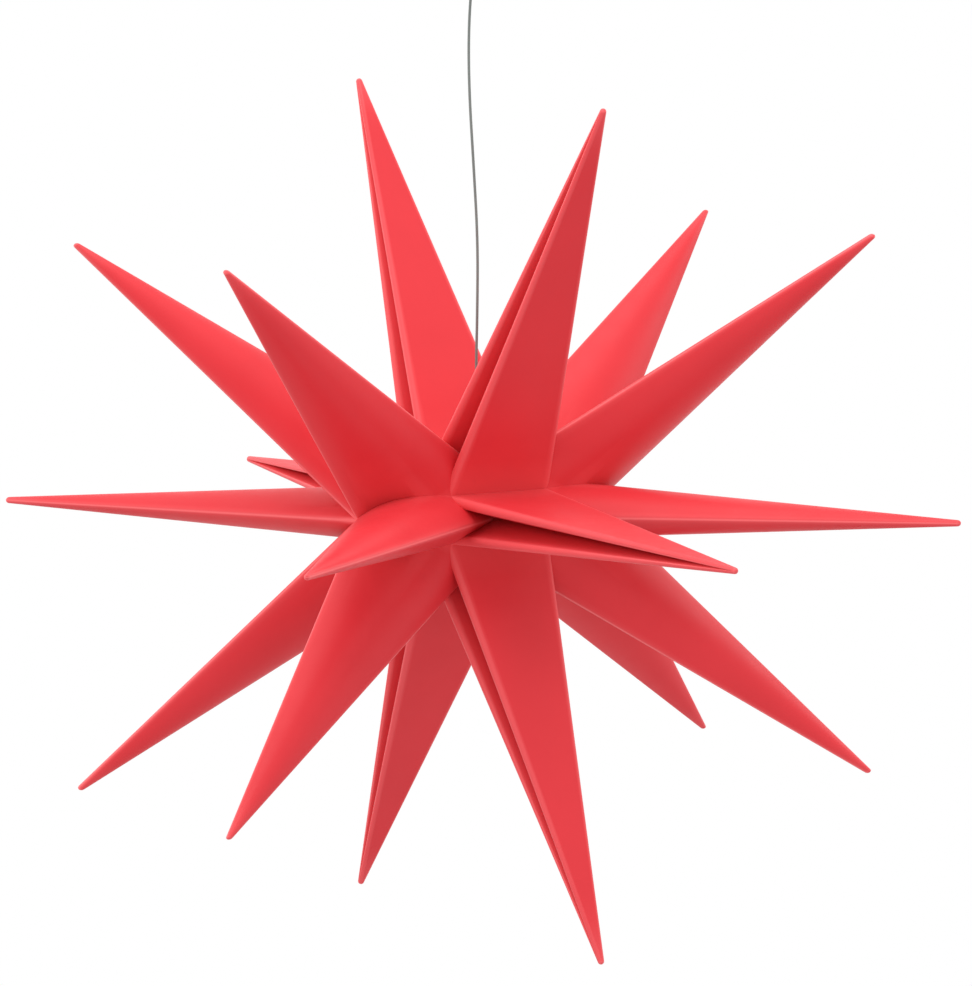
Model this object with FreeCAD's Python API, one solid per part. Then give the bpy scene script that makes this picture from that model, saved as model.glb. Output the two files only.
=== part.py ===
import FreeCAD, Part
import math
import os

# Folding eighteen-point star pendant. All sizes in millimetres.
# Origin: centre of the ceiling face. +Z is up, +Y is the star's long pleat axis,
# and +X is the direction of the first leaf's middle point.

# star: six leaves round the Y axis, each with a middle point and two side points
leaf_count = 6
drop = 380.0                 # ceiling face down to the centre of the star
tip_radius = 285.0           # centre of the star to the end of a middle point
side_tip_radius = 286.0      # centre of the star to the end of a side point
side_tip_angle = 40.6        # side point, measured from the Y axis
pole_half = 81.0             # the outer edges of all blades meet here on the Y axis
waist_radius = 29.0          # valley between two leaves
waist_half = 34.5            # half length of that valley
pleat_radius = 30.0          # the bottom of the side pleats
pleat_half = 5.2             # a side blade ends here, beside the middle point
blade_bulge = 16.7           # half thickness of a side blade at its root
tip_round = 2.6              # rounding of every point
tip_height = 2.0             # half thickness of a middle point's end
edge_land = 1.3              # upright rim of a panel along a blade's two edges
wall = 1.2                   # sheet thickness
inner_flats = 20             # a blade's hollow is a pyramid of this many sides

# closing seam on top of the star
ear_width = 10.0
ear_height = 12.0
ear_place = 24.0             # centre of an ear from the middle of the seam
clip_height = 6.0
clip_wall = 1.1
clip_gap = 0.1

# suspension
lead_diameter = 1.6
bore_gap = 0.3               # all round the lead where it passes through a piece
bush_radius = 2.6
bush_gap = 0.25              # sleeve of the bush to the hole in the star
bush_above = 7.0             # sleeve above the valley
flange_radius = 6.5
flange_height = 2.0
seat_gap = 0.2               # bush under the sheet, and stop under the bush
stop_radius = 3.4
stop_height = 6.5
bond_gap = 0.05              # pieces that are glued or pressed on the lead

# lamp at the centre of the star
lamp_top = 12.0              # above the centre of the star
lamp_radius = 13.0
lamp_height = 13.0
lamp_neck_radius = 4.0
lamp_neck_height = 4.0
lamp_wall = 1.5
lamp_recess = 5.0            # depth of the open lower end of the housing
board_radius = 11.0
board_height = 1.2
led_count = 10
led_circle = 7.6
led_size = 2.4
led_height = 0.9
diffuser_length = 17.0       # below the housing
diffuser_rim = 3.0           # the part of the diffuser inside the housing
diffuser_wall = 1.0
diffuser_gap = 0.1

# ceiling rose
plate_radius = 40.0
plate_height = 2.0
plate_hole_radius = 2.25
plate_hole_spacing = 54.0
plate_ear_width = 12.0
plate_ear_depth = 14.0
cup_radius = 45.0
cup_height = 26.0
cup_wall = 1.5
cup_shoulder = 9.0           # size of the lower corner
cup_floor = 2.0
collar_height = 4.0
collar_wall = 1.6
side_screw_radius = 1.45
side_screw_length = 6.5
side_screw_drop = 8.5        # below the ceiling
side_head_radius = 2.7
side_head_height = 1.6
screw_gap = 0.2

# swivel that the lead hangs from
ball_radius = 8.0
ball_gap = 0.3
ball_drop = 21.0             # centre of the ball below the ceiling
ball_latitudes = (-60, -35, -10, 15)   # the ball is turned with a flat between these
seat_angle = 30.0            # latitude at which the ball rests on its seat
ring_radius = 13.0
ring_height = 7.5
ring_lip_radius = 7.8
ring_lip_height = 1.4
thread_gap = 0.1
nose_radius = 3.2
nose_length = 20.0           # from the centre of the ball
pivot_depth = 4.0            # the lead bends here, inside the mouth of the nose
lead_bend = 15.0             # degrees each way

# electrical parts inside the rose
driver_size = (40.0, 22.0, 13.0)
driver_place = 24.5          # centre from the middle of the rose
driver_corner = 2.5
block_size = (26.0, 13.0, 11.0)
block_place = 27.0
block_poles = 2
block_entry_radius = 1.9
block_screw_radius = 1.5

# the lead's free run: sideways off the vertical, and height above the star's centre
lead_aside = (0.5035, 0.864)
lead_route = [
    (0.0, 343.0), (0.0, 331.0), (-3.4, 312.0), (-5.2, 281.0), (-4.7, 246.0),
    (-2.2, 205.0), (0.3, 160.0), (0.0, 118.0), (-0.8, 84.0), (0.0, 50.0), (0.0, 12.0),
]

star_z = -drop
lead_radius = lead_diameter / 2
bore_radius = lead_radius + bore_gap
half_sector = 180.0 / leaf_count
half_tan = math.tan(math.radians(half_sector))
far = 2 * tip_radius


def vec(x, y, z):
    return FreeCAD.Vector(x, y, z)


def line(a, b):
    return Part.makeLine(a, b)


def arc(a, b, c):
    return Part.Arc(a, b, c).toShape()


def box(low, high):
    size = high - low
    return Part.makeBox(size.x, size.y, size.z, low)


def rod(radius, bottom, top):
    return Part.makeCylinder(radius, top - bottom, vec(0, 0, bottom))


def turned(points):
    """Solid of revolution about Z from (radius, height) points."""
    ring = [vec(r, 0, z) for r, z in points]
    return Part.Face(Part.makePolygon(ring + ring[:1])).revolve(vec(0, 0, 0), vec(0, 0, 1), 360)


# ---- one panel: half a leaf, in leaf coordinates -------------------------------
# x runs out along the middle point, y along the star's axis, z square to the leaf.
# The panel fills the sector from the leaf's middle plane to the valley beside it.

waist_x = waist_radius * math.cos(math.radians(half_sector))
waist_z = waist_radius * math.sin(math.radians(half_sector))
up = vec(0, 0, 1)
pole = vec(0, pole_half, 0)
pleat_foot = vec(pleat_radius, pleat_half, 0)
tip_way = vec(math.sin(math.radians(side_tip_angle)), math.cos(math.radians(side_tip_angle)), 0)


def half_space(point, outward):
    """Large block that ends at the point, with its face turned outward."""
    block = Part.makeBox(2 * far, 2 * far, far, vec(-far, -far, -far))
    block.Placement = FreeCAD.Placement(point, FreeCAD.Rotation(up, outward))
    return block


def tangent_way(point, centre, radius, side):
    """Direction from the point, in the leaf's plane, along one side of a circle."""
    to_centre = centre - point
    angle = math.atan2(to_centre.y, to_centre.x) + side * math.asin(radius / to_centre.Length)
    return vec(math.cos(angle), math.sin(angle), 0)


def crossing(point_a, way_a, point_b, way_b):
    """Where two lines of the leaf's plane cross."""
    square = way_b.cross(up)
    return point_a + way_a * ((point_b - point_a).dot(square) / way_a.dot(square))


def tapered_slab(apex, way_a, way_b, centre, radius):
    """Plan outline of a point, tall enough for any leaf: two edges and a round end."""
    root_a, root_b = apex + way_a * far, apex + way_b * far
    if radius:
        touch_a = apex + way_a * way_a.dot(centre - apex)
        touch_b = apex + way_b * way_b.dot(centre - apex)
        end = centre + (apex - centre).normalize() * radius
        edges = [line(root_b, root_a), line(root_a, touch_a), arc(touch_a, end, touch_b), line(touch_b, root_b)]
        outline = Part.Face(Part.Wire(edges))
    else:
        outline = Part.Face(Part.makePolygon([root_a, apex, root_b, root_a]))
    outline.translate(up * -waist_z)
    return outline.extrude(up * (4 * waist_z))


def pyramid(apex, axis, radius, length):
    """Many-sided pyramid that just fits inside a cone."""
    across = axis.cross(up).normalize()
    square = axis.cross(across)
    ring = []
    for number in range(inner_flats):
        angle = 2 * math.pi * number / inner_flats
        ring.append(apex + axis * length + (across * math.cos(angle) + square * math.sin(angle)) * radius)
    faces = [Part.Face(Part.makePolygon(ring + ring[:1]))]
    for near, away in zip(ring, ring[1:] + ring[:1]):
        faces.append(Part.Face(Part.makePolygon([apex, near, away, apex])))
    return Part.Solid(Part.Shell(faces))


def blade(inside=0.0):
    """Side point on the +Y side: a cone tilted so that it meets the mid plane in two edges."""
    centre = tip_way * (side_tip_radius - tip_round)
    outer_way = tangent_way(pole, centre, tip_round, 1)
    inner_way = tangent_way(pleat_foot, centre, tip_round, -1)
    apex = crossing(pole, outer_way, pleat_foot, inner_way)
    to_root = (outer_way + inner_way).normalize() * -1
    opening = outer_way.getAngle(inner_way) / 2
    middle = (pole + pleat_foot) * 0.5
    rise = math.atan((blade_bulge - edge_land) / (middle - apex).Length)
    tilt = math.atan((math.cos(rise) - math.cos(opening)) / math.sin(rise))
    axis = to_root * math.cos(tilt) - up * math.sin(tilt)
    cone_angle = tilt + rise
    cone_apex = apex + up * edge_land + axis * (inside / math.sin(cone_angle))
    length = 1.3 * side_tip_radius
    base_radius = length * math.tan(cone_angle)
    slab_apex = apex + to_root * (inside / math.sin(opening))
    slab = tapered_slab(slab_apex, outer_way * -1, inner_way * -1, centre, 0 if inside else tip_round)
    if inside:
        return pyramid(cone_apex, axis, base_radius, length).common(slab)
    return Part.makeCone(0, base_radius, length, cone_apex, axis).common(slab)


def middle_point(inside=0.0):
    """Point in the middle of the leaf: flat on top, with a pleat running in on each side."""
    shoulder = vec(waist_x, waist_half, 0)
    centre = vec(tip_radius - tip_round, 0, 0)
    way = tangent_way(shoulder, centre, tip_round, 1)
    apex = crossing(shoulder, way, vec(0, 0, 0), vec(1, 0, 0))
    top_slope = vec(tip_radius - waist_x, 0, tip_height - waist_z)
    top_out = vec(-top_slope.z, 0, top_slope.x).normalize()
    ridge_end = apex + up * (waist_z + top_slope.z / top_slope.x * (apex.x - waist_x))
    shoulder.z = waist_z
    pleat_out = (ridge_end - shoulder).cross(pleat_foot - shoulder).normalize()
    body = half_space(shoulder - top_out * inside, top_out)
    for side in (1, -1):
        out = vec(pleat_out.x, side * pleat_out.y, pleat_out.z)
        foot = vec(pleat_foot.x, side * pleat_foot.y, 0)
        body = body.common(half_space(foot - out * inside, out))
    slab_apex = apex - vec(inside / math.sin(way.getAngle(vec(1, 0, 0))), 0, 0)
    back = way * -1
    slab = tapered_slab(slab_apex, back, vec(back.x, -back.y, 0), centre, 0 if inside else tip_round)
    return body.common(slab)


def sector():
    corner = [vec(0, -far, 0), vec(far, -far, 0), vec(far, -far, far * half_tan)]
    return Part.Face(Part.makePolygon(corner + corner[:1])).extrude(vec(0, 2 * far, 0))


def mirrored(shape):
    return shape.mirror(vec(0, 0, 0), vec(0, 1, 0))


def panel():
    side = blade()
    hollow = blade(wall)
    outside = middle_point().fuse([side, mirrored(side)]).common(sector())
    return outside.cut([middle_point(wall), hollow, mirrored(hollow)])


def place_panel(shape, leaf, upper):
    """Turn a panel to its leaf; the lower half of a leaf is the upper one turned over."""
    piece = shape.copy()
    if not upper:
        piece.rotate(vec(0, 0, 0), vec(1, 0, 0), 180)
    piece.rotate(vec(0, 0, 0), vec(0, 1, 0), -leaf * 360.0 / leaf_count)
    piece.translate(vec(0, 0, star_z))
    return piece


# ---- closing seam, bush and lead ----------------------------------------------

face_slope = (waist_z - tip_height) / (tip_radius - waist_x)
face_angle = math.radians(half_sector) - math.atan(face_slope)
seam_inside = waist_radius - wall / math.sin(face_angle)
ear_foot = (waist_radius + seam_inside) / 2


def seam_ears(side):
    """Two ears that stand up from the closing edge of one panel, on the side of x given."""
    ears = []
    for place in (-ear_place, ear_place):
        low = vec(min(0, side * wall), place - ear_width / 2, star_z + ear_foot)
        high = vec(max(0, side * wall), place + ear_width / 2, star_z + waist_radius + ear_height)
        ears.append(box(low, high))
    return ears


def lead_hole():
    return rod(bush_radius + bush_gap, star_z + seam_inside - wall, star_z + waist_radius + ear_height)


def star_panels():
    plain = panel()
    pieces = {}
    for leaf in range(leaf_count):
        for upper, word in ((True, "upper"), (False, "lower")):
            piece = place_panel(plain, leaf, upper)
            at_seam = {(1, True): 1, (2, False): -1}.get((leaf, upper))
            if at_seam:
                piece = piece.fuse(seam_ears(at_seam)).cut(lead_hole())
            pieces["leaf_%d_%s_panel" % (leaf + 1, word)] = piece
    return pieces


def seam_clips():
    """U-shaped clips pushed over the ears."""
    top = star_z + waist_radius + ear_height + clip_gap
    inner = wall + clip_gap
    outer = inner + clip_wall
    clips = []
    for place in (-ear_place, ear_place):
        near, away = place - ear_width / 2, place + ear_width / 2
        block = box(vec(-outer, near, top - clip_height), vec(outer, away, top + clip_wall))
        slot = box(vec(-inner, near - 1, top - clip_height), vec(inner, away + 1, top))
        clips.append(block.cut(slot))
    return Part.makeCompound(clips)


flange_top = star_z + seam_inside - seat_gap
flange_bottom = flange_top - flange_height
stop_top = flange_bottom - seat_gap


def lead_bush():
    sleeve_top = star_z + waist_radius + bush_above
    return turned([(bore_radius, flange_bottom), (flange_radius, flange_bottom), (flange_radius, flange_top),
                   (bush_radius, flange_top), (bush_radius, sleeve_top), (bore_radius, sleeve_top)])


def lead_stop():
    hole = lead_radius + bond_gap
    bottom = stop_top - stop_height
    return turned([(hole, bottom), (stop_radius, bottom), (stop_radius, stop_top), (hole, stop_top)])


def lead_points():
    return [vec(aside * lead_aside[0], aside * lead_aside[1], star_z + height) for aside, height in lead_route]


def lead_cord():
    """Round lead on straight runs joined by arcs as large as the runs allow."""
    points = lead_points()
    edges = []
    last = points[0]
    radii = []
    for before, corner, after in zip(points, points[1:], points[2:]):
        to_back = (before - corner).normalize()
        to_front = (after - corner).normalize()
        shorter = min((before - corner).Length, (after - corner).Length)
        tangent = 0.45 * shorter
        turn = math.pi - to_back.getAngle(to_front)
        radius = tangent / math.tan(turn / 2)
        radii.append(radius)
        start = corner + to_back * tangent
        end = corner + to_front * tangent
        inward = (to_back + to_front).normalize()
        middle = corner + inward * (radius / math.cos(turn / 2) - radius)
        edges.append(line(last, start))
        edges.append(arc(start, middle, end))
        last = end
    edges.append(line(last, points[-1]))
    path = Part.Wire(edges)
    ring = Part.makeCircle(lead_radius, points[0], points[0] - points[1])
    tube = path.makePipeShell([Part.Wire([ring])], True, False)
    true_volume = math.pi * lead_radius ** 2 * path.Length
    print("lead length %.1f, tightest radius %.1f, volume ratio %.4f"
          % (path.Length, min(radii), tube.Volume / true_volume))
    return tube


# ---- lamp ----------------------------------------------------------------------

housing_top = star_z + lamp_top
housing_bottom = housing_top - lamp_height
board_top = housing_bottom + lamp_recess
diffuser_radius = lamp_radius - lamp_wall - diffuser_gap


def lamp_housing():
    """Round housing, open below, with a neck that the lead goes into."""
    body = rod(lamp_radius, housing_bottom, housing_top - lamp_neck_height)
    neck = rod(lamp_neck_radius, housing_top - lamp_neck_height, housing_top)
    recess = rod(lamp_radius - lamp_wall, housing_bottom, board_top)
    return body.fuse(neck).cut(recess)


def led_board():
    return rod(board_radius, board_top - board_height, board_top)


def leds():
    top = board_top - board_height
    corner = vec(led_size / 2, led_size / 2, 0)
    chips = []
    for number in range(led_count):
        angle = 2 * math.pi * number / led_count
        centre = vec(led_circle * math.cos(angle), led_circle * math.sin(angle), top)
        chips.append(box(centre - corner - up * led_height, centre + corner))
    return Part.makeCompound(chips)


def diffuser():
    """Frosted cup whose rim sits inside the housing."""
    def cup(extra, top):
        radius = diffuser_radius - extra
        end = housing_bottom - diffuser_length + extra
        return turned([(0, top), (radius, top), (radius, end), (0, end)])

    rim_top = housing_bottom + diffuser_rim
    return cup(0, rim_top).cut(cup(diffuser_wall, rim_top + 1))


# ---- ceiling rose ---------------------------------------------------------------

cup_inner = cup_radius - cup_wall
ear_face = math.sqrt(cup_inner ** 2 - (plate_ear_width / 2) ** 2) - screw_gap


def ceiling_plate():
    """Round plate with two screw holes and two ears for the cup's side screws."""
    plate = rod(plate_radius, -plate_height, 0)
    for side in (-1, 1):
        near, away = side * (plate_radius - plate_height * 2), side * ear_face
        tab = box(vec(min(near, away), -plate_ear_width / 2, -plate_height),
                  vec(max(near, away), plate_ear_width / 2, 0))
        near = side * (ear_face - plate_height)
        ear = box(vec(min(near, away), -plate_ear_width / 2, -plate_ear_depth),
                  vec(max(near, away), plate_ear_width / 2, 0))
        plate = plate.fuse([tab, ear])
        hole = Part.makeCylinder(plate_hole_radius, 3 * plate_height,
                                 vec(side * plate_hole_spacing / 2, 0, -2 * plate_height))
        plate = plate.cut(hole)
    tapped = Part.makeCylinder(side_screw_radius + bond_gap, 2 * cup_radius,
                               vec(-cup_radius, 0, -side_screw_drop), vec(1, 0, 0))
    return plate.cut(tapped)


def cup_shape(radius, bottom, corner):
    """Turned cup outline from the ceiling down, with a lower corner cut in two steps."""
    step = corner * (1 - math.sqrt(0.5))
    return turned([(0, 0), (radius, 0), (radius, bottom + corner), (radius - step, bottom + step),
                   (radius - corner, bottom), (0, bottom)])


def seat_radius(height):
    """Radius of the ball's seat at a height: a cone that stays one gap clear of the ball."""
    slope = math.radians(seat_angle)
    return (ball_radius + ball_gap + (height + ball_drop) * math.sin(slope)) / math.cos(slope)


def rose_cup():
    floor = -cup_height + cup_floor
    outside = cup_shape(cup_radius, -cup_height, cup_shoulder)
    chamfer = cup_shoulder - cup_wall
    inside = turned([(0, 0), (cup_inner, 0), (cup_inner, floor + chamfer), (cup_inner - chamfer, floor),
                     (0, floor)])
    collar_inner = ring_radius + thread_gap
    collar = rod(collar_inner + collar_wall, floor, floor + collar_height)
    collar = collar.cut(rod(collar_inner, floor, floor + collar_height))
    seat = turned([(0, floor), (seat_radius(floor), floor), (seat_radius(-cup_height), -cup_height),
                   (0, -cup_height)])
    holes = Part.makeCylinder(side_screw_radius + screw_gap, 2 * cup_radius + 2,
                              vec(-cup_radius - 1, 0, -side_screw_drop), vec(1, 0, 0))
    return outside.cut(inside).fuse(collar).cut([seat, holes])


def swivel_ring():
    """Screwed ring with an inward lip that keeps the ball in the cup."""
    floor = -cup_height + cup_floor
    top = floor + ring_height
    inner = ball_radius + ball_gap
    return turned([(inner, floor), (ring_radius, floor), (ring_radius, top), (ring_lip_radius, top),
                   (ring_lip_radius, top - ring_lip_height), (inner, top - ring_lip_height)])


def side_screws():
    screws = []
    for side in (-1, 1):
        axis = vec(side, 0, 0)
        head_at = cup_radius + bond_gap
        shank = Part.makeCylinder(side_screw_radius, side_screw_length,
                                  vec(side * (head_at - side_screw_length), 0, -side_screw_drop), axis)
        head = Part.makeCylinder(side_head_radius, side_head_height,
                                 vec(side * head_at, 0, -side_screw_drop), axis)
        screws.append(shank.fuse(head))
    return Part.makeCompound(screws)


def cord_swivel():
    """Ball with a nose; the bore opens out at the mouth so that the lead can bend."""
    mouth = -ball_drop - nose_length
    pivot = mouth + pivot_depth
    flare = lead_radius / math.cos(math.radians(lead_bend))
    flare += pivot_depth * math.tan(math.radians(lead_bend)) + bore_gap
    nose = rod(nose_radius, mouth, -ball_drop)
    bore = turned([(0, -ball_drop + ball_radius + 1), (bore_radius, -ball_drop + ball_radius + 1),
                   (bore_radius, pivot), (flare, mouth), (0, mouth)])
    rings = [(ball_radius * math.cos(math.radians(angle)),
              ball_radius * math.sin(math.radians(angle)) - ball_drop) for angle in ball_latitudes]
    ball = turned([(0, rings[0][1])] + rings + [(0, rings[-1][1])])
    return ball.fuse(nose).cut(bore)


def led_driver():
    length, width, height = driver_size
    low = vec(-length / 2, driver_place - width / 2, -plate_height - height)
    body = box(low, low + vec(length, width, height))
    upright = [edge for edge in body.Edges
               if abs(edge.Vertexes[0].Z - edge.Vertexes[1].Z) > height / 2]
    return body.makeFillet(driver_corner, upright)


def terminal_block():
    """Two-pole block with cable entries along Y and clamp screws from below."""
    length, width, height = block_size
    low = vec(-length / 2, -block_place - width / 2, -plate_height - height)
    body = box(low, low + vec(length, width, height))
    cuts = []
    for pole_number in range(block_poles):
        x = -length / 2 + length * (pole_number + 0.5) / block_poles
        middle = -plate_height - height * 0.45
        cuts.append(Part.makeCylinder(block_entry_radius, width + 2,
                                      vec(x, -block_place - width / 2 - 1, middle), vec(0, 1, 0)))
        cuts.append(Part.makeCylinder(block_screw_radius, height / 2, vec(x, -block_place, low.z)))
    return body.cut(cuts)


def main():
    os.makedirs("parts", exist_ok=True)
    pieces = {
        "ceiling_plate": ceiling_plate(),
        "rose_cup": rose_cup(),
        "side_screws": side_screws(),
        "led_driver": led_driver(),
        "terminal_block": terminal_block(),
        "swivel_ring": swivel_ring(),
        "cord_swivel": cord_swivel(),
        "lead": lead_cord(),
        "lead_stop": lead_stop(),
        "lamp_housing": lamp_housing(),
        "led_board": led_board(),
        "leds": leds(),
        "lamp_diffuser": diffuser(),
        "lead_bush": lead_bush(),
        "seam_clips": seam_clips(),
    }
    pieces.update(star_panels())
    for name, shape in pieces.items():
        print("%-22s solids %d volume %.1f valid %s" % (name, len(shape.Solids), shape.Volume, shape.isValid()))
        shape.exportStep("parts/%s.step" % name)


main()
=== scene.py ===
import math

import bmesh
import bpy
from mathutils import Matrix, Vector


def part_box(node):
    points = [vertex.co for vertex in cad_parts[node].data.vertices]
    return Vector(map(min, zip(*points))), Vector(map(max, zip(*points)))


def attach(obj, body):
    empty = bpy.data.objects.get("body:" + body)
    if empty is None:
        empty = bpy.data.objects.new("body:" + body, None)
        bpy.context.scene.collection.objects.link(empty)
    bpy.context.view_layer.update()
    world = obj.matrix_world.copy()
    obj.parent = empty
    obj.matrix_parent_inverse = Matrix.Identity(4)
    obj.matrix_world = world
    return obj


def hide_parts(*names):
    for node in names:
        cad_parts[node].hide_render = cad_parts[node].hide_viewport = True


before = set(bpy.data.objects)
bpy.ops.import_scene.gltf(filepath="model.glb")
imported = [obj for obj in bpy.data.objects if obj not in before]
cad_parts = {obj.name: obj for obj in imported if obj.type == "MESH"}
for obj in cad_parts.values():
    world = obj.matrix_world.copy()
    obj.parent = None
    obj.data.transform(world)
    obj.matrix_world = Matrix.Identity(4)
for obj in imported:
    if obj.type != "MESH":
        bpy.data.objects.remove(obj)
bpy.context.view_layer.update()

mm = 0.001
touch = 1e-3          # places nearer than this are one, in millimetres
ringReach = 0.02      # an edge this near to a ring that is asked for is part of it
sharpAngle = 32.0     # a bend above this many degrees shows as an edge
starCentre = -380.0   # its height, in millimetres
up = Vector((0, 0, 1))
print("frame loaded, nodes:", len(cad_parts))


# camera, fitted to the ends of the star's points in the photograph
camera = {
    "target": Vector((0, 0, starCentre * mm)),
    "distance": 3.926,
    "azimuth": 59.77,          # degrees
    "elevation": 7.71,
    "lens": 243.0,
    "sensorWidth": 36.0,
    "shift": (0.0088, 0.01875),
    "clipEnd": 50.0,
}


def makeCamera():
    data = bpy.data.cameras.new("photoCamera")
    data.lens = camera["lens"]
    data.sensor_width = camera["sensorWidth"]
    data.shift_x, data.shift_y = camera["shift"]
    data.clip_end = camera["clipEnd"]
    obj = bpy.data.objects.new("photoCamera", data)
    bpy.context.collection.objects.link(obj)
    azimuth = math.radians(camera["azimuth"])
    elevation = math.radians(camera["elevation"])
    back = Vector((math.sin(azimuth) * math.cos(elevation), -math.cos(azimuth) * math.cos(elevation),
                   math.sin(elevation)))
    obj.location = camera["target"] + back * camera["distance"]
    obj.rotation_euler = (-back).to_track_quat("-Z", "Y").to_euler()
    bpy.context.scene.camera = obj


makeCamera()
print("camera set")


# materials: a socket that can be used in plain sums, and one method for every other node
class Value:
    def __init__(self, work, socket):
        self.work = work
        self.socket = socket

    def maths(self, operation, first, second):
        made = self.work.node("ShaderNodeMath", {"operation": operation}, {0: first, 1: second})
        return made["Value"]

    def __add__(self, other):
        return self.maths("ADD", self, other)

    def __radd__(self, other):
        return self.maths("ADD", other, self)

    def __mul__(self, other):
        return self.maths("MULTIPLY", self, other)

    def __rmul__(self, other):
        return self.maths("MULTIPLY", other, self)


class NodeWork:
    def __init__(self, tree):
        self.tree = tree

    def node(self, kind, settings, inputs):
        made = self.tree.nodes.new(kind)
        for key, value in settings.items():
            setattr(made, key, value)
        for key, value in inputs.items():
            self.feed(made.inputs[key], value)
        return {socket.name: Value(self, socket) for socket in made.outputs if socket.enabled}

    def feed(self, socket, value):
        if isinstance(value, Value):
            self.tree.links.new(value.socket, socket)
        else:
            socket.default_value = value


class Finish(NodeWork):
    def __init__(self, name):
        self.material = bpy.data.materials.new(name)
        self.material.use_nodes = True
        super().__init__(self.material.node_tree)
        self.shader = self.tree.nodes["Principled BSDF"]

    def surface(self, **inputs):
        for key, value in inputs.items():
            self.feed(self.shader.inputs[key.replace("_", " ")], value)
        return self.material

    def place(self):
        return self.node("ShaderNodeTexCoord", {}, {})["Object"]

    def noise(self, place, scale, detail=3.0, roughness=0.5):
        inputs = {"Vector": place, "Scale": scale, "Detail": detail, "Roughness": roughness}
        return self.node("ShaderNodeTexNoise", {}, inputs)["Fac"]

    def spread(self, value, low, high, fromLow=0.3, fromHigh=0.7):
        inputs = {"Value": value, "From Min": fromLow, "From Max": fromHigh,
                  "To Min": low, "To Max": high}
        return self.node("ShaderNodeMapRange", {}, inputs)["Result"]

    def blend(self, factor, first, second):
        inputs = {0: factor, 6: first, 7: second}
        return self.node("ShaderNodeMix", {"data_type": "RGBA"}, inputs)["Result"]

    def bump(self, height, strength, distance):
        inputs = {"Height": height, "Strength": strength, "Distance": distance}
        return self.node("ShaderNodeBump", {}, inputs)["Normal"]


# moulded plastic with faint cloudiness, uneven gloss and a fine skin
plastic = {
    "cloudScale": 14.0,
    "cloudDetail": 4.0,
    "skinDetail": 2.0,
    "rubbedScale": 55.0,
    "rubbedDetail": 5.0,
    "rubbedRoughness": 0.6,
    "rubbedHeight": 0.4,       # height of the rubbed patches, where the skin's is 1
    "specular": 0.25,
}


def moulded(name, colours, roughness, grain, paintedRidgeHighlight=None):
    finish = Finish(name)
    place = finish.place()
    cloud = finish.noise(place, plastic["cloudScale"], plastic["cloudDetail"])
    skin = finish.noise(place, grain["scale"], plastic["skinDetail"])
    rubbed = finish.noise(place, plastic["rubbedScale"], plastic["rubbedDetail"],
                          plastic["rubbedRoughness"])
    body = finish.blend(finish.spread(cloud, 0.0, 1.0), *colours)
    if paintedRidgeHighlight:  # painted highlight: the pointiest, folded edges get a lighter red in the base colour, standing in for the light they catch
        ridgeHighlightMask = finish.node("ShaderNodeNewGeometry", {}, {})["Pointiness"]
        body = finish.blend(finish.spread(ridgeHighlightMask, 0.0, 1.0, *paintedRidgeHighlight["range"]), body, paintedRidgeHighlight["colour"])
    height = skin + plastic["rubbedHeight"] * rubbed
    return finish.surface(
        Base_Color=body,
        Roughness=finish.spread(rubbed, *roughness),
        Normal=finish.bump(height, grain["strength"], grain["depth"]),
        Specular_IOR_Level=plastic["specular"],
    )


# zinc plate or rolled steel: fine drawn lines and clouded gloss
metal = {
    "lineScale": 60.0,
    "lineDetail": 5.0,
    "lineRoughness": 0.65,
    "lineStrength": 0.15,
    "lineDepth": 0.0001,
    "cloudScale": 40.0,
    "cloudShade": 0.8,         # how bright the darker clouds are, beside the rest
}


def plated(name, colour, roughness, stretch):
    finish = Finish(name)
    stretched = {"Vector": finish.place(), "Scale": stretch}
    lined = finish.node("ShaderNodeMapping", {}, stretched)["Vector"]
    lines = finish.noise(lined, metal["lineScale"], metal["lineDetail"], metal["lineRoughness"])
    cloud = finish.noise(finish.place(), metal["cloudScale"])
    darker = tuple(metal["cloudShade"] * part for part in colour[:3]) + (1.0,)
    return finish.surface(
        Base_Color=finish.blend(finish.spread(cloud, 0.0, 1.0), darker, colour),
        Metallic=1.0,
        Roughness=finish.spread(lines, *roughness),
        Normal=finish.bump(lines, metal["lineStrength"], metal["lineDepth"]),
    )


# starRed's base colour carries a painted highlight along its folded edges
starRed = moulded(
    "starRed", colours=[(0.72, 0.034, 0.044, 1), (0.77, 0.038, 0.049, 1)], roughness=(0.40, 0.50),
    grain={"scale": 700.0, "strength": 0.12, "depth": 0.0002},
    # painted ridge highlight: the pointiness range where it starts, and its lighter red
    paintedRidgeHighlight={"range": (0.505, 0.545), "colour": (0.95, 0.15, 0.16, 1)})
roseWhite = moulded(
    "roseWhite", colours=[(0.80, 0.80, 0.78, 1), (0.84, 0.84, 0.82, 1)], roughness=(0.25, 0.36),
    grain={"scale": 900.0, "strength": 0.08, "depth": 0.0001})
housingWhite = moulded(
    "housingWhite", colours=[(0.74, 0.74, 0.72, 1), (0.79, 0.79, 0.77, 1)], roughness=(0.45, 0.6),
    grain={"scale": 1200.0, "strength": 0.2, "depth": 0.0001})
blockCream = moulded(
    "blockCream", colours=[(0.70, 0.68, 0.60, 1), (0.76, 0.74, 0.66, 1)], roughness=(0.4, 0.55),
    grain={"scale": 1100.0, "strength": 0.2, "depth": 0.0001})
boardWhite = moulded(
    "boardWhite", colours=[(0.80, 0.81, 0.80, 1), (0.84, 0.85, 0.84, 1)], roughness=(0.2, 0.3),
    grain={"scale": 1500.0, "strength": 0.1, "depth": 0.00005})
ledYellow = moulded(
    "ledYellow", colours=[(0.82, 0.58, 0.08, 1), (0.88, 0.66, 0.12, 1)], roughness=(0.15, 0.25),
    grain={"scale": 2500.0, "strength": 0.1, "depth": 0.00005})
frosted = moulded(
    "frosted", colours=[(0.80, 0.79, 0.75, 1), (0.85, 0.84, 0.80, 1)], roughness=(0.5, 0.62),
    grain={"scale": 1800.0, "strength": 0.25, "depth": 0.00005})
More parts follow.
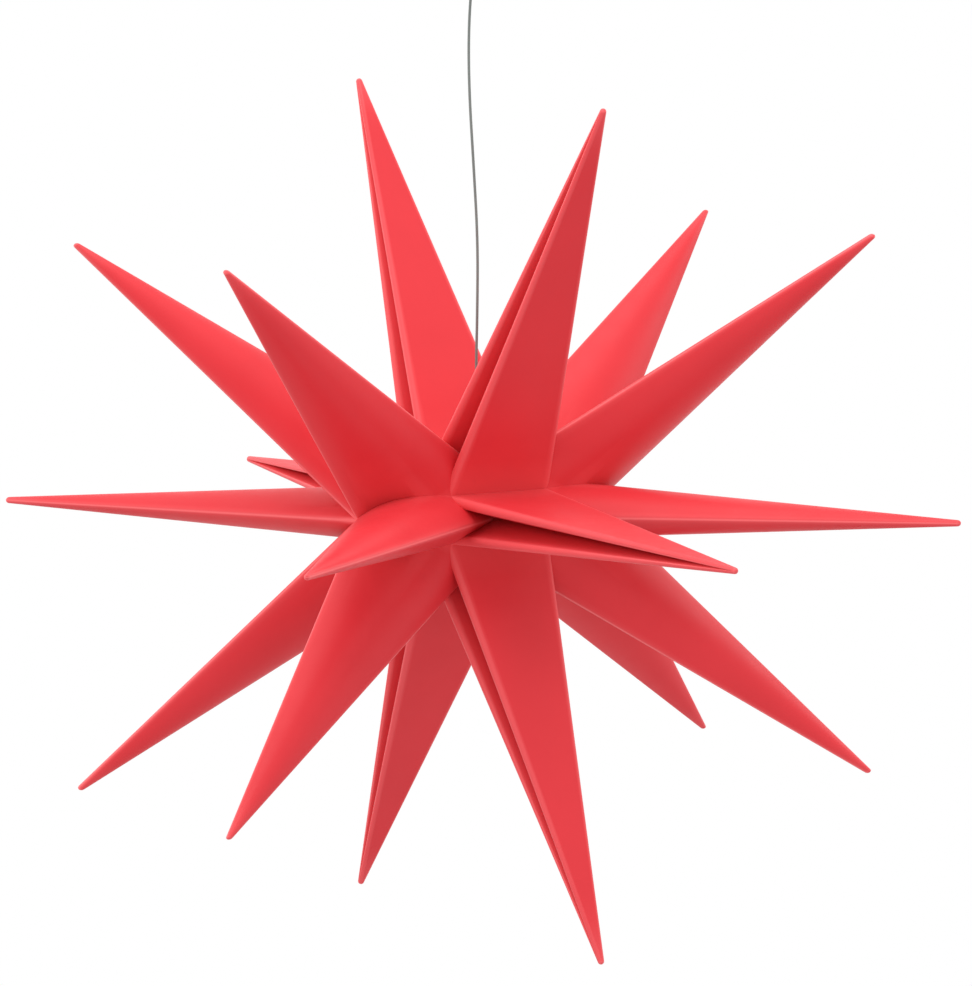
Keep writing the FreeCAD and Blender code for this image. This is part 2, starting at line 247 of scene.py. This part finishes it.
leadGrey = moulded(
    "leadGrey", colours=[(0.188, 0.210, 0.198, 1), (0.228, 0.255, 0.240, 1)], roughness=(0.38, 0.5),
    grain={"scale": 2200.0, "strength": 0.15, "depth": 0.00005})
plateZinc = plated(
    "plateZinc", colour=(0.60, 0.61, 0.62, 1), roughness=(0.28, 0.48), stretch=(1.0, 12.0, 1.0))
screwBright = plated(
    "screwBright", colour=(0.70, 0.70, 0.70, 1), roughness=(0.16, 0.3), stretch=(12.0, 1.0, 1.0))
print("materials made")


# turns a bmesh in millimetres into a finished piece that stands for CAD nodes
def newPiece(name, bm, material, body, nodes):
    bmesh.ops.transform(bm, matrix=Matrix.Scale(mm, 4), verts=bm.verts)
    bmesh.ops.recalc_face_normals(bm, faces=bm.faces)
    for face in bm.faces:
        face.smooth = True
    mesh = bpy.data.meshes.new(name)
    bm.to_mesh(mesh)
    bm.free()
    mesh.set_sharp_from_angle(angle=math.radians(sharpAngle))
    mesh.materials.append(material)
    piece = bpy.data.objects.new(name, mesh)
    bpy.context.collection.objects.link(piece)
    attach(piece, body)
    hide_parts(*nodes)


# the lead: its route is the one that part.py sweeps, as control points of one smooth line
lead = {
    "diameter": 1.6 * mm,
    "aside": (0.5035, 0.864),      # x and y of the level way in which it waves
    "smoothSteps": 12,
    "roundSteps": 4,
    # how far aside, and how far above the star's centre, in millimetres
    "route": [(0.0, 343.0), (0.0, 331.0), (-3.4, 312.0), (-5.2, 281.0), (-4.7, 246.0), (-2.2, 205.0),
              (0.3, 160.0), (0.0, 118.0), (-0.8, 84.0), (0.0, 50.0), (0.0, 12.0)],
}


def makeLead():
    curve = bpy.data.curves.new("leadWire", "CURVE")
    curve.dimensions = "3D"
    curve.resolution_u = lead["smoothSteps"]
    curve.bevel_depth = lead["diameter"] / 2
    curve.bevel_resolution = lead["roundSteps"]
    curve.use_fill_caps = True
    spline = curve.splines.new("NURBS")
    spline.points.add(len(lead["route"]) - 1)
    wayX, wayY = lead["aside"]
    for point, (aside, height) in zip(spline.points, lead["route"]):
        point.co = (wayX * aside * mm, wayY * aside * mm, starCentre * mm + height * mm, 1.0)
    spline.order_u = 3
    spline.use_endpoint_u = True
    curve.materials.append(leadGrey)
    piece = bpy.data.objects.new("leadWire", curve)
    bpy.context.collection.objects.link(piece)
    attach(piece, "hanging_lead")
    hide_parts("lead")


makeLead()
print("lead made")


# the star: every panel is half a leaf, made in leaf coordinates and turned to its place
# x runs out along the middle point, y along the star's axis, z square to the leaf
star = {
    "leaves": 6,
    "tipRadius": 285.0,                # end of a middle point, from the star's centre
    "sideTipRadius": 286.0,            # end of a side point
    "sideTipAngle": 40.6,              # degrees between a side point's end and the star's axis
    "poleHalf": 81.0,                  # half the distance between the two poles
    "waistRadius": 29.0,               # the valley between two leaves
    "waistHalf": 34.5,                 # half the length of that valley
    "foot": Vector((30.0, 5.2, 0.0)),  # where a pleat starts, beside a side point
    "bladeBulge": 16.7,                # half the thickness of a side point's lens
    "tipRound": 1.9,                   # rounding at the end of every point
    "domeTurns": (22, 42, 60, 76),     # where that rounding has its rings, in degrees
    "ridgeRound": 3.4,                 # rounding along a middle point's edges
    "ridgeInset": 0.8,                 # how far in from the valley's end it runs, as a share of it
    "ridgeSteps": 8,
    "ridgeBand": 3.0,                  # flat strip beside it, so that shading keeps to it
    "pleatUnder": 62.0,                # how far the rounding runs under, in degrees
    "tipPleat": 2.0,                   # degrees round the tip, where the pleat's strip ends
    "tipFirst": 4.0,                   # where the rounding starts
    "tipSweep": 80.0,                  # how far it goes on
    "tipFace": 87.0,                   # where the flat face starts
    "edgeRound": 2.6,                  # rounding along a side point's edges
    "edgeExtra": 1.2,                  # a side point is drawn this much wider before it is rounded
    "edgeSteps": 4,
    "faceSteps": 24,
    "rootShare": 1.25,                 # a side point starts this much larger, inside the star
    "rings": 11,                       # cuts along every point
    "longEdge": 100.0,                 # an edge above this length runs along a point
    "tipReach": 30.0,                  # the open end of a point is nearer to its tip than this
}
halfSector = math.radians(180.0 / star["leaves"])
waistPlane = Vector((-math.sin(halfSector), 0, math.cos(halfSector)))


def onlyKind(parts, kind):
    return [part for part in parts if isinstance(part, kind)]


# closes whatever is open
def capped(bm):
    rim = [edge for edge in bm.edges if edge.is_boundary]
    bmesh.ops.holes_fill(bm, edges=rim, sides=0)


# takes away what lies on the outward side of a plane
def cutBehind(bm, point, outward):
    everything = bm.verts[:] + bm.edges[:] + bm.faces[:]
    bmesh.ops.bisect_plane(bm, geom=everything, dist=touch, plane_co=point, plane_no=outward,
                           clear_outer=True)
    capped(bm)


# adds the lower half of an outline
def mirroredBelow(bm):
    bmesh.ops.mirror(bm, geom=bm.verts[:] + bm.edges[:], axis="Z", merge_dist=touch)
    bmesh.ops.remove_doubles(bm, verts=bm.verts, dist=touch)


# extrudes an outline and gives the vertices of its far end
def drawnOut(bm):
    drawn = bmesh.ops.extrude_edge_only(bm, edges=bm.edges[:])["geom"]
    return onlyKind(drawn, bmesh.types.BMVert)


# draws an open end over a ball, ring by ring, and closes it
def domedTip(bm, rim, centre, outward):
    width = 1.0
    depth = 0.0
    for degrees in star["domeTurns"]:
        turn = math.radians(degrees)
        drawn = bmesh.ops.extrude_edge_only(bm, edges=rim)["geom"]
        rim = onlyKind(drawn, bmesh.types.BMEdge)
        nextDepth = star["tipRound"] * math.sin(turn)
        shrink = (Matrix.Translation(centre + outward * nextDepth)
                  @ Matrix.Scale(math.cos(turn) / width, 4)
                  @ Matrix.Translation(-(centre + outward * depth)))
        bmesh.ops.transform(bm, matrix=shrink, verts=onlyKind(drawn, bmesh.types.BMVert))
        width = math.cos(turn)
        depth = nextDepth
    capped(bm)


# cuts a drawn out point into rings and rounds its end
def finishPoint(bm, tipCentre, outward):
    lengthways = [edge for edge in bm.edges if edge.calc_length() > star["longEdge"]]
    bmesh.ops.subdivide_edges(bm, edges=lengthways, cuts=star["rings"], use_grid_fill=True)
    rim = [edge for edge in bm.edges if edge.is_boundary
           and all((vert.co - tipCentre).length < star["tipReach"] for vert in edge.verts)]
    domedTip(bm, rim, tipCentre, outward)


# middle point: two flat wedges back to back, with a pleat between them on each side
def middlePoint(bm):
    waist = Vector((star["waistRadius"] * math.cos(halfSector), star["waistHalf"],
                    star["waistRadius"] * math.sin(halfSector)))
    size = star["ridgeRound"]
    tipSize = star["tipRound"]
    tipCentre = Vector((star["tipRadius"] - tipSize, 0, 0))
    inset = Vector((0, star["ridgeInset"] * size, size))
    way = (tipCentre - (waist - inset)).normalized()
    rootCentre = tipCentre - way * (tipCentre.x / way.x)
    footTip = Vector((tipCentre.x, tipSize, 0))
    footWay = footTip - star["foot"]
    footRoot = footTip - footWay * (footTip.x / footWay.x)
    under = math.radians(star["pleatUnder"])

    # the outline where x is 0: pleat, rounding and flat face, and the same on the other sides
    foot = bm.verts.new(footRoot)
    start = bm.verts.new(rootCentre + Vector((0, math.cos(under), -math.sin(under))) * size)
    arc = bmesh.ops.spin(bm, geom=[start], cent=rootCentre, axis=(1, 0, 0), angle=under + math.pi / 2,
                         steps=star["ridgeSteps"], use_merge=False, use_duplicate=False)
    last = arc["geom_last"][0]
    below = bm.verts.new(start.co + (footRoot - start.co).normalized() * star["ridgeBand"])
    inward = bm.verts.new(last.co - Vector((0, star["ridgeBand"], 0)))
    for pair in ((foot, below), (below, start), (last, inward)):
        bm.edges.new(pair)
    half = bm.verts[:] + bm.edges[:]
    other = bmesh.ops.mirror(bm, geom=half, axis="Y", merge_dist=touch)["geom"]
    across = Vector((inward.co.x, -inward.co.y, inward.co.z))
    facing = min(onlyKind(other, bmesh.types.BMVert), key=lambda vert: (vert.co - across).length)
    bm.edges.new((inward, facing))
    mirroredBelow(bm)

    for vert in drawnOut(bm):  # each place gets its own angle on the tip's circle
        sideY = math.copysign(1, vert.co.y)
        sideZ = math.copysign(1, vert.co.z)
        place = vert.co - Vector((rootCentre.x, sideY * rootCentre.y, sideZ * rootCentre.z))
        turn = math.atan2(place.z * sideZ, place.y * sideY)
        if abs(vert.co.z) < touch:
            turn = 0.0
        elif place.length > size + touch:
            turn = math.radians(star["tipFace"] if turn > 0 else star["tipPleat"])
        else:
            turn = (math.radians(star["tipFirst"])
                    + (turn + under) / (under + math.pi / 2) * math.radians(star["tipSweep"]))
        vert.co = tipCentre + Vector((0, sideY * math.cos(turn), sideZ * math.sin(turn))) * tipSize
    finishPoint(bm, tipCentre, Vector((1, 0, 0)))


# side point on the +y side: a lens with rounded edges, drawn out to its round tip
def sidePoint(bm):
    angle = math.radians(star["sideTipAngle"])
    tip = Vector((math.sin(angle), math.cos(angle), 0)) * star["sideTipRadius"]
    pole = Vector((0, star["poleHalf"], 0))
    middle = (pole + star["foot"]) / 2
    along = (star["foot"] - pole).normalized()
    outward = (tip - middle).normalized()
    halfChord = (star["foot"] - pole).length / 2 + star["edgeExtra"]
    bulge = star["bladeBulge"]
    radius = (halfChord ** 2 + bulge ** 2) / (2 * bulge)
    arcHeight = bulge - radius
    size = star["edgeRound"]
    tipSize = star["tipRound"]
    edgeCentre = math.sqrt((radius - size) ** 2 - arcHeight ** 2)
    lean = math.atan2(-arcHeight, edgeCentre)
    tipShare = tipSize / (edgeCentre + size)
    tipCentre = tip - outward * tipSize
    rootShare = star["rootShare"]
    rootCentre = tipCentre + (middle - tipCentre) * ((rootShare - tipShare) / (1 - tipShare))

    # the outline of the lens: a round edge, the face, the other round edge, and the same below
    last = bm.verts.new((edgeCentre + size, 0, 0))
    for place, turn, steps in (((edgeCentre, 0, 0), lean, star["edgeSteps"]),
                               ((0, 0, arcHeight), math.pi - 2 * lean, star["faceSteps"]),
                               ((-edgeCentre, 0, 0), lean, star["edgeSteps"])):
        arc = bmesh.ops.spin(bm, geom=[last], cent=place, axis=(0, 1, 0), angle=-turn, steps=steps,
                             use_merge=False, use_duplicate=False)
        last = arc["geom_last"][0]
    mirroredBelow(bm)

    near = bm.verts[:]
    far = drawnOut(bm)
    for vert in far:  # each place goes to the tip's circle where that faces the same way
        if abs(vert.co.x) > edgeCentre + size * math.cos(lean) - touch:
            centre = Vector((math.copysign(edgeCentre, vert.co.x), 0, 0))
        else:
            centre = Vector((0, 0, math.copysign(arcHeight, -vert.co.z)))
        vert.co = (vert.co - centre).normalized() * tipSize
    turned = Matrix((along, up.cross(along), up)).transposed().to_4x4()
    atRoot = Matrix.Translation(rootCentre) @ turned @ Matrix.Scale(rootShare, 4)
    bmesh.ops.transform(bm, matrix=atRoot, verts=near)
    bmesh.ops.transform(bm, matrix=Matrix.Translation(tipCentre) @ turned, verts=far)
    finishPoint(bm, tipCentre, outward)


# puts several closed shapes into one bmesh
def joined(shapes):
    whole = bmesh.new()
    for shape in shapes:
        store = bpy.data.meshes.new("part")
        shape.to_mesh(store)
        shape.free()
        whole.from_mesh(store)
        bpy.data.meshes.remove(store)
    return whole


# half a leaf: a middle point and two side points, cut off at the leaf's plane and at the valley
def halfLeaf():
    shapes = []
    for side in (0, 1, -1):  # the middle point, then a side point on each side
        shape = bmesh.new()
        if side == 0:
            middlePoint(shape)
        else:
            sidePoint(shape)
        cutBehind(shape, (0, 0, 0), (0, 0, -1))
        cutBehind(shape, (0, 0, 0), waistPlane)
        if side == -1:
            bmesh.ops.scale(shape, vec=(1, -1, 1), verts=shape.verts)
        bmesh.ops.recalc_face_normals(shape, faces=shape.faces)
        shapes.append(shape)
    return joined(shapes)


# the seam that closes the star, between two panels
seam = {
    "panels": {(2, "upper"): 1, (3, "lower"): -1},   # with the side on which their ears lie
    "earWidth": 10.0,
    "earHeight": 12.0,
    "earRoot": 4.0,            # how far an ear reaches down into its panel
    "earPlace": 24.0,          # from the star's middle, along its axis
    "earRound": 1.5,
    "roundSteps": 4,
    "sheet": 1.2,              # thickness of an ear
}


# two ears that stand up from the closing edge of a panel, with rounded corners
def seamEars(side):
    ears = bmesh.new()
    height = seam["earHeight"] + seam["earRoot"]
    for place in (-seam["earPlace"], seam["earPlace"]):
        made = bmesh.ops.create_cube(ears, size=1.0)["verts"]
        bmesh.ops.scale(ears, vec=(seam["sheet"], seam["earWidth"], height), verts=made)
        middle = (side * seam["sheet"] / 2, place,
                  starCentre + star["waistRadius"] + seam["earHeight"] - height / 2)
        bmesh.ops.translate(ears, vec=middle, verts=made)
        top = max(vert.co.z for vert in made)
        corners = [edge for edge in ears.edges if edge.verts[0] in made
                   and all(abs(vert.co.z - top) < touch for vert in edge.verts)
                   and abs(edge.verts[0].co.y - edge.verts[1].co.y) < touch]
        bmesh.ops.bevel(ears, geom=corners, offset=seam["earRound"], offset_type="OFFSET",
                        affect="EDGES", segments=seam["roundSteps"], profile=0.5, material=-1)
    return ears


def makeStar():
    plain = bpy.data.meshes.new("halfLeaf")
    shape = halfLeaf()
    shape.to_mesh(plain)
    print("half leaf:", len(shape.faces), "faces")
    shape.free()
    for leaf in range(1, star["leaves"] + 1):
        for word, flip in (("upper", 0), ("lower", 180)):
            panel = bmesh.new()
            panel.from_mesh(plain)
            leafTurn = Matrix.Rotation(-2 * halfSector * (leaf - 1), 4, "Y")
            place = (Matrix.Translation((0, 0, starCentre)) @ leafTurn
                     @ Matrix.Rotation(math.radians(flip), 4, "X"))
            bmesh.ops.transform(panel, matrix=place, verts=panel.verts)
            side = seam["panels"].get((leaf, word))
            if side:
                panel = joined([panel, seamEars(side)])
            newPiece("leaf%d%sPanel" % (leaf, word.capitalize()), panel, starRed, "star",
                     ["leaf_%d_%s_panel" % (leaf, word)])
    bpy.data.meshes.remove(plain)


makeStar()
print("star made")


# solid turned about z from (radius, height) points; points on the axis close it
def turnedShape(points, steps):
    bm = bmesh.new()
    verts = [bm.verts.new((radius, 0, height)) for radius, height in points]
    closed = points[0][0] > 0 and points[-1][0] > 0
    pairs = list(zip(verts, verts[1:])) + ([(verts[-1], verts[0])] if closed else [])
    for pair in pairs:
        bm.edges.new(pair)
    bmesh.ops.spin(bm, geom=bm.verts[:] + bm.edges[:], cent=(0, 0, 0), axis=(0, 0, 1),
                   angle=2 * math.pi, steps=steps, use_merge=True, use_duplicate=False)
    bmesh.ops.remove_doubles(bm, verts=bm.verts, dist=touch)
    return bm


# rounds the circular edges at the given (radius, height, size) places
def roundRings(bm, rings, segments):
    for radius, height, size in rings:
        edges = [edge for edge in bm.edges
                 if all(abs(math.hypot(vert.co.x, vert.co.y) - radius) < ringReach
                        and abs(vert.co.z - height) < ringReach for vert in edge.verts)]
        bmesh.ops.bevel(bm, geom=edges, offset=size, offset_type="OFFSET", affect="EDGES",
                        segments=segments, profile=0.5, material=-1)


rose = {
    "radius": 45.0,
    "height": 26.0,
    "wall": 1.5,
    "floor": 2.0,
    "shoulder": 9.0,           # rounding between wall and floor
    "shoulderSteps": 10,
    "rimRound": 0.4,
    "mouthOuter": 6.7,         # radius of the swivel's hole, on the outside and inside
    "mouthInner": 7.85,
    "mouthRound": 0.5,
    "roundSteps": 3,
    "collarInner": 13.1,       # ring on the floor, round the swivel
    "collarOuter": 14.7,
    "collarHeight": 4.0,
    "steps": 96,
}


def makeRose():
    radius = rose["radius"]
    bottom = -rose["height"]
    floor = bottom + rose["floor"]
    inner = radius - rose["wall"]
    collarTop = floor + rose["collarHeight"]
    cup = turnedShape([(inner, 0), (radius, 0), (radius, bottom), (rose["mouthOuter"], bottom),
                       (rose["mouthInner"], floor), (rose["collarInner"], floor),
                       (rose["collarInner"], collarTop), (rose["collarOuter"], collarTop),
                       (rose["collarOuter"], floor), (inner, floor)], rose["steps"])
    roundRings(cup, [(radius, bottom, rose["shoulder"]),
                     (inner, floor, rose["shoulder"] - rose["wall"])], rose["shoulderSteps"])
    roundRings(cup, [(radius, 0, rose["rimRound"]),
                     (rose["mouthOuter"], bottom, rose["mouthRound"])], rose["roundSteps"])
    newPiece("roseCup", cup, roseWhite, "ceiling_rose", ["rose_cup"])


swivel = {
    "ballRadius": 8.0,
    "ballHeight": -21.0,
    "ballTurns": range(15, -66, -5),  # latitudes of the ball's rings, in degrees
    "ballClear": 0.2,          # the ball's last ring is at least this much wider than the nose
    "noseRadius": 3.2,
    "noseDrop": 0.3,           # the nose starts this far under the ball's last ring
    "noseEnd": -41.0,
    "noseRound": 0.5,
    "boreRadius": 1.1,
    "pivotHeight": -37.0,
    "flare": 2.2,
    "roundSteps": 4,
    "steps": 64,
}


def makeSwivel():
    ballRadius = swivel["ballRadius"]
    noseRadius = swivel["noseRadius"]
    ball = []
    for latitude in swivel["ballTurns"]:
        angle = math.radians(latitude)
        height = swivel["ballHeight"] + ballRadius * math.sin(angle)
        ball.append((ballRadius * math.cos(angle), height))
    while ball[-1][0] < noseRadius + swivel["ballClear"]:
        ball.pop()
    nose = [(noseRadius, ball[-1][1] - swivel["noseDrop"]), (noseRadius, swivel["noseEnd"]),
            (swivel["flare"], swivel["noseEnd"]), (swivel["boreRadius"], swivel["pivotHeight"]),
            (swivel["boreRadius"], ball[0][1])]
    shape = turnedShape(ball + nose, swivel["steps"])
    roundRings(shape, [(noseRadius, swivel["noseEnd"], swivel["noseRound"])], swivel["roundSteps"])
    newPiece("cordSwivel", shape, roseWhite, "swivel", ["cord_swivel"])


makeRose()
makeSwivel()
print("rose and swivel made")


lamp = {
    "radius": 13.0,
    "top": -368.0,
    "bottom": -381.0,
    "wall": 1.5,
    "neckRadius": 4.0,
    "neckHeight": 4.0,
    "neckRound": 0.6,
    "shoulderRound": 2.0,
    "rimRound": 0.4,
    "boardTop": -376.0,
    "capRadius": 11.4,
    "capWall": 1.0,
    "capTop": -378.0,
    "capEnd": -398.0,
    "capRound": 4.0,
    "roundSteps": 4,
    "capSteps": 6,
    "steps": 64,
}


def makeLamp():
    radius = lamp["radius"]
    neck = lamp["neckRadius"]
    shoulder = lamp["top"] - lamp["neckHeight"]
    inner = radius - lamp["wall"]
    housing = turnedShape([(0, lamp["top"]), (neck, lamp["top"]), (neck, shoulder),
                           (radius, shoulder), (radius, lamp["bottom"]), (inner, lamp["bottom"]),
                           (inner, lamp["boardTop"]), (0, lamp["boardTop"])], lamp["steps"])
    roundRings(housing, [(radius, shoulder, lamp["shoulderRound"]),
                         (neck, lamp["top"], lamp["neckRound"]),
                         (radius, lamp["bottom"], lamp["rimRound"])], lamp["roundSteps"])
    newPiece("lampHousing", housing, housingWhite, "hanging_lead", ["lamp_housing"])
    capOuter = lamp["capRadius"]
    capInner = capOuter - lamp["capWall"]
    capFloor = lamp["capEnd"] + lamp["capWall"]
    cap = turnedShape([(capInner, lamp["capTop"]), (capOuter, lamp["capTop"]),
                       (capOuter, lamp["capEnd"]), (0, lamp["capEnd"]), (0, capFloor),
                       (capInner, capFloor)], lamp["steps"])
    roundRings(cap, [(capOuter, lamp["capEnd"], lamp["capRound"]),
                     (capInner, capFloor, lamp["capRound"] - lamp["capWall"])], lamp["capSteps"])
    newPiece("lampDiffuser", cap, frosted, "hanging_lead", ["lamp_diffuser"])


bush = {
    "bore": 1.1,
    "sleeve": 2.6,
    "sleeveRound": 0.6,
    "flange": 6.5,
    "flangeHeight": 2.0,
    "flangeRound": 0.5,
    "stopRadius": 3.4,
    "stopClear": 0.05,         # between the stop's bore and the lead
    "stopUnderRound": 0.9,
    "stopTopRound": 0.3,
    "roundSteps": 4,
    "steps": 48,
}


# lowest and highest place of a CAD node, in millimetres
def heights(node):
    low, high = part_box(node)
    return low[2] / mm, high[2] / mm


def makeBush():
    low, high = heights("lead_bush")
    flangeTop = low + bush["flangeHeight"]
    sleeve = turnedShape([(bush["bore"], low), (bush["flange"], low), (bush["flange"], flangeTop),
                          (bush["sleeve"], flangeTop), (bush["sleeve"], high), (bush["bore"], high)],
                         bush["steps"])
    roundRings(sleeve, [(bush["flange"], low, bush["flangeRound"]),
                        (bush["sleeve"], high, bush["sleeveRound"])], bush["roundSteps"])
    newPiece("leadBush", sleeve, starRed, "star", ["lead_bush"])
    low, high = heights("lead_stop")
    bore = lead["diameter"] / 2 / mm + bush["stopClear"]
    outer = bush["stopRadius"]
    stop = turnedShape([(bore, low), (outer, low), (outer, high), (bore, high)], bush["steps"])
    roundRings(stop, [(outer, low, bush["stopUnderRound"]), (outer, high, bush["stopTopRound"])],
               bush["roundSteps"])
    newPiece("leadStop", stop, housingWhite, "hanging_lead", ["lead_stop"])


makeLamp()
makeBush()
print("lamp and bush made")


# the CAD nodes that are shown as they are
carried = {
    "ceiling_plate": plateZinc,
    "side_screws": screwBright,
    "swivel_ring": roseWhite,
    "led_driver": housingWhite,
    "terminal_block": blockCream,
    "led_board": boardWhite,
    "leds": ledYellow,
    "seam_clips": starRed,
}
for nodeName, material in carried.items():
    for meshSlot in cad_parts[nodeName].material_slots:
        meshSlot.material = material
print("carried nodes finished")


# floor, lamps and world
studio = {
    "floorHeight": -1.9,
    "floorRadius": 2.6,
    "floorSides": 96,
    "floorColours": [(0.60, 0.60, 0.60, 1), (0.64, 0.64, 0.64, 1)],
    "floorSpeckle": 90.0,
    "floorRoughness": 0.8,
    "worldColour": (1.0, 1.0, 1.0, 1),
    "worldLevel": 0.88,        # lights the object
    "seenLevel": 1.0,          # is seen behind it and in reflections
}
areaLamps = {
    "overhead": {"place": (0.3, -0.2, 1.7), "size": 2.4, "power": 28.0},
    "frontLeft": {"place": (0.6, -3.2, 0.9), "size": 1.8, "power": 13.0},
    "backLeft": {"place": (-2.6, -1.6, 0.6), "size": 1.6, "power": 20.0},
    "backRight": {"place": (0.2, 3.0, 0.7), "size": 1.6, "power": 12.0},
}


def makeStudio():
    floor = bmesh.new()
    bmesh.ops.create_circle(floor, cap_ends=True, segments=studio["floorSides"],
                            radius=studio["floorRadius"])
    bmesh.ops.translate(floor, vec=(0, 0, studio["floorHeight"]), verts=floor.verts)
    mesh = bpy.data.meshes.new("studioFloor")
    floor.to_mesh(mesh)
    floor.free()
    paint = Finish("floorPaint")
    speckle = paint.noise(paint.place(), studio["floorSpeckle"])
    mesh.materials.append(paint.surface(
        Base_Color=paint.blend(paint.spread(speckle, 0.0, 1.0), *studio["floorColours"]),
        Roughness=studio["floorRoughness"]))
    piece = bpy.data.objects.new("studioFloor", mesh)
    bpy.context.collection.objects.link(piece)
    for name, lampValues in areaLamps.items():
        data = bpy.data.lights.new(name, "AREA")
        data.shape = "DISK"
        data.size = lampValues["size"]
        data.energy = lampValues["power"]
        obj = bpy.data.objects.new(name, data)
        bpy.context.collection.objects.link(obj)
        obj.location = lampValues["place"]
        aim = camera["target"] - obj.location
        obj.rotation_euler = aim.to_track_quat("-Z", "Y").to_euler()
    world = bpy.data.worlds.new("studioWorld")
    bpy.context.scene.world = world
    world.use_nodes = True
    world.node_tree.nodes.clear()
    sky = NodeWork(world.node_tree)
    ways = sky.node("ShaderNodeLightPath", {}, {})
    seen = ways["Is Camera Ray"] + ways["Is Glossy Ray"] + ways["Is Transmission Ray"]
    light = sky.node("ShaderNodeBackground", {}, {"Color": studio["worldColour"],
                                                  "Strength": studio["worldLevel"]})
    white = sky.node("ShaderNodeBackground", {}, {"Color": studio["worldColour"],
                                                  "Strength": studio["seenLevel"]})
    mixed = sky.node("ShaderNodeMixShader", {}, {0: seen, 1: light["Background"],
                                                 2: white["Background"]})
    sky.node("ShaderNodeOutputWorld", {}, {"Surface": mixed["Shader"]})


makeStudio()
bpy.context.scene.view_settings.view_transform = "Standard"
print("studio made")
